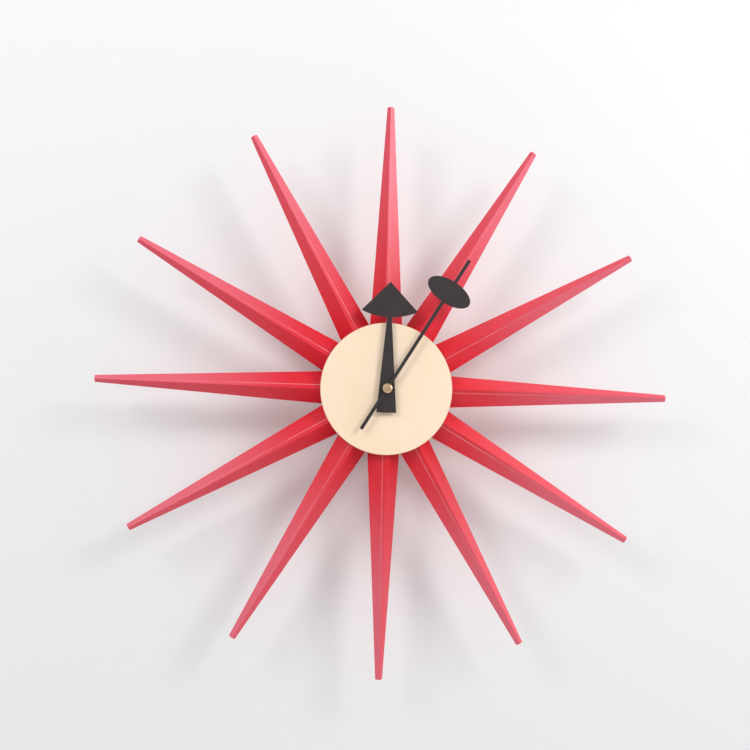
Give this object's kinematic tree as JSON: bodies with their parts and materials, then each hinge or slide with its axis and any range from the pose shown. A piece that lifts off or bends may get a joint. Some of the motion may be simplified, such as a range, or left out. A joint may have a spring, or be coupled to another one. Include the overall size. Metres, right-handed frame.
{
  "type": "sunburst wall clock",
  "caption": "Sunburst wall clock: tapered square wooden rays around a steel cup, cream dial, triangle hour hand, oval minute hand and quartz movement.",
  "frame": {"origin": "centre of the hanger strap's back face, on the hands' axis, in the wall plane", "axes": "+Z towards twelve o'clock, +X towards three o'clock, +Y into the wall, so the dial faces -Y"},
  "size_m": [0.47, 0.0715, 0.47],
  "materials": {
    "red_lacquered_wood": "satin red lacquer over wood",
    "cream_painted_metal": "satin cream paint",
    "black_painted_aluminium": "satin black paint",
    "brass": "turned brass",
    "zinc_plated_steel": "bright zinc plate",
    "grey_enamelled_steel": "satin grey enamel over spun steel",
    "black_rubber": "matt",
    "black_plastic": "moulded, fine spark texture",
    "white_plastic": "moulded acetal",
    "copper_wire": "enamelled winding wire",
    "circuit_board": "brown phenolic board",
    "black_resin": "poured resin",
    "ferrite": "sintered",
    "battery_wrap": "plain printed sleeve with no lettering"
  },
  "bodies": {
    "clock_body": {"ray_01": "red_lacquered_wood", "ray_02": "red_lacquered_wood", "ray_03": "red_lacquered_wood", "ray_04": "red_lacquered_wood", "ray_05": "red_lacquered_wood", "ray_06": "red_lacquered_wood", "ray_07": "red_lacquered_wood", "ray_08": "red_lacquered_wood", "ray_09": "red_lacquered_wood", "ray_10": "red_lacquered_wood", "ray_11": "red_lacquered_wood", "ray_12": "red_lacquered_wood", "ray_screw_01": "zinc_plated_steel", "ray_screw_02": "zinc_plated_steel", "ray_screw_03": "zinc_plated_steel", "ray_screw_04": "zinc_plated_steel", "ray_screw_05": "zinc_plated_steel", "ray_screw_06": "zinc_plated_steel", "ray_screw_07": "zinc_plated_steel", "ray_screw_08": "zinc_plated_steel", "ray_screw_09": "zinc_plated_steel", "ray_screw_10": "zinc_plated_steel", "ray_screw_11": "zinc_plated_steel", "ray_screw_12": "zinc_plated_steel", "housing_cup": "grey_enamelled_steel", "dial": "cream_painted_metal", "hanger_strap": "zinc_plated_steel", "strap_screw_top": "zinc_plated_steel", "strap_screw_bottom": "zinc_plated_steel", "threaded_bush": "brass", "rubber_washer": "black_rubber", "flat_washer": "brass", "hex_nut": "brass", "case_front": "black_plastic", "case_cover": "black_plastic", "stator": "zinc_plated_steel", "coil_core": "zinc_plated_steel", "coil_spool": "white_plastic", "coil_winding": "copper_wire", "circuit_board": "circuit_board", "quartz_crystal": "zinc_plated_steel", "chip_resin": "black_resin", "plus_contact": "zinc_plated_steel", "minus_contact": "zinc_plated_steel"},
    "minute_set": {"minute_hand": "black_painted_aluminium", "cap_nut": "brass", "minute_arbor": "brass", "clutch_spring": "brass"},
    "hour_set": {"hour_hand": "black_painted_aluminium", "hour_wheel": "white_plastic"},
    "minute_wheel": {"minute_wheel": "white_plastic"},
    "setting_knob": {"setting_knob": "white_plastic"},
    "rotor": {"rotor_pinion": "white_plastic", "rotor_magnet": "ferrite"},
    "idler_wheel": {"idler_wheel": "white_plastic"},
    "seconds_wheel": {"seconds_wheel": "white_plastic"},
    "third_wheel": {"third_wheel": "white_plastic"},
    "centre_wheel": {"centre_wheel": "white_plastic"},
    "battery": {"battery": "battery_wrap"}
  },
  "joints": [
    {"name": "minute_turn", "type": "hinge", "parent": "clock_body", "child": "minute_set", "pos_m": [0, 0, 0], "axis": [0, 1, 0], "continuous": true},
    {"name": "hour_turn", "type": "hinge", "parent": "clock_body", "child": "hour_set", "pos_m": [0, 0, 0], "axis": [0, 1, 0], "continuous": true},
    {"name": "minute_wheel_turn", "type": "hinge", "parent": "clock_body", "child": "minute_wheel", "pos_m": [-0.0072, 0, 0], "axis": [0, 1, 0], "continuous": true},
    {"name": "knob_turn", "type": "hinge", "parent": "clock_body", "child": "setting_knob", "pos_m": [-0.0144, 0, 0], "axis": [0, 1, 0], "continuous": true},
    {"name": "rotor_turn", "type": "hinge", "parent": "clock_body", "child": "rotor", "pos_m": [0.00219, 0, 0.01702], "axis": [0, 1, 0], "continuous": true},
    {"name": "idler_turn", "type": "hinge", "parent": "clock_body", "child": "idler_wheel", "pos_m": [0.00699, 0, 0.01702], "axis": [0, 1, 0], "continuous": true},
    {"name": "seconds_turn", "type": "hinge", "parent": "clock_body", "child": "seconds_wheel", "pos_m": [0.01049, 0, 0.01096], "axis": [0, 1, 0], "continuous": true},
    {"name": "third_turn", "type": "hinge", "parent": "clock_body", "child": "third_wheel", "pos_m": [0.00425, 0, 0.00736], "axis": [0, 1, 0], "continuous": true},
    {"name": "centre_turn", "type": "hinge", "parent": "clock_body", "child": "centre_wheel", "pos_m": [0, 0, 0], "axis": [0, 1, 0], "continuous": true},
    {"name": "battery_slide", "type": "slide", "parent": "clock_body", "child": "battery", "axis": [0, 1, 0], "range_m": [0, 0.03]}
  ],
  "couplings": [
    {"joint": "hour_turn", "follows": "minute_turn", "ratio": 0.083333},
    {"joint": "minute_wheel_turn", "follows": "minute_turn", "ratio": -0.33333},
    {"joint": "knob_turn", "follows": "minute_turn", "ratio": 1},
    {"joint": "idler_turn", "follows": "rotor_turn", "ratio": -0.2},
    {"joint": "seconds_turn", "follows": "rotor_turn", "ratio": 0.033333},
    {"joint": "third_turn", "follows": "rotor_turn", "ratio": -0.0041667},
    {"joint": "centre_turn", "follows": "rotor_turn", "ratio": 0.00055556}
  ]
}
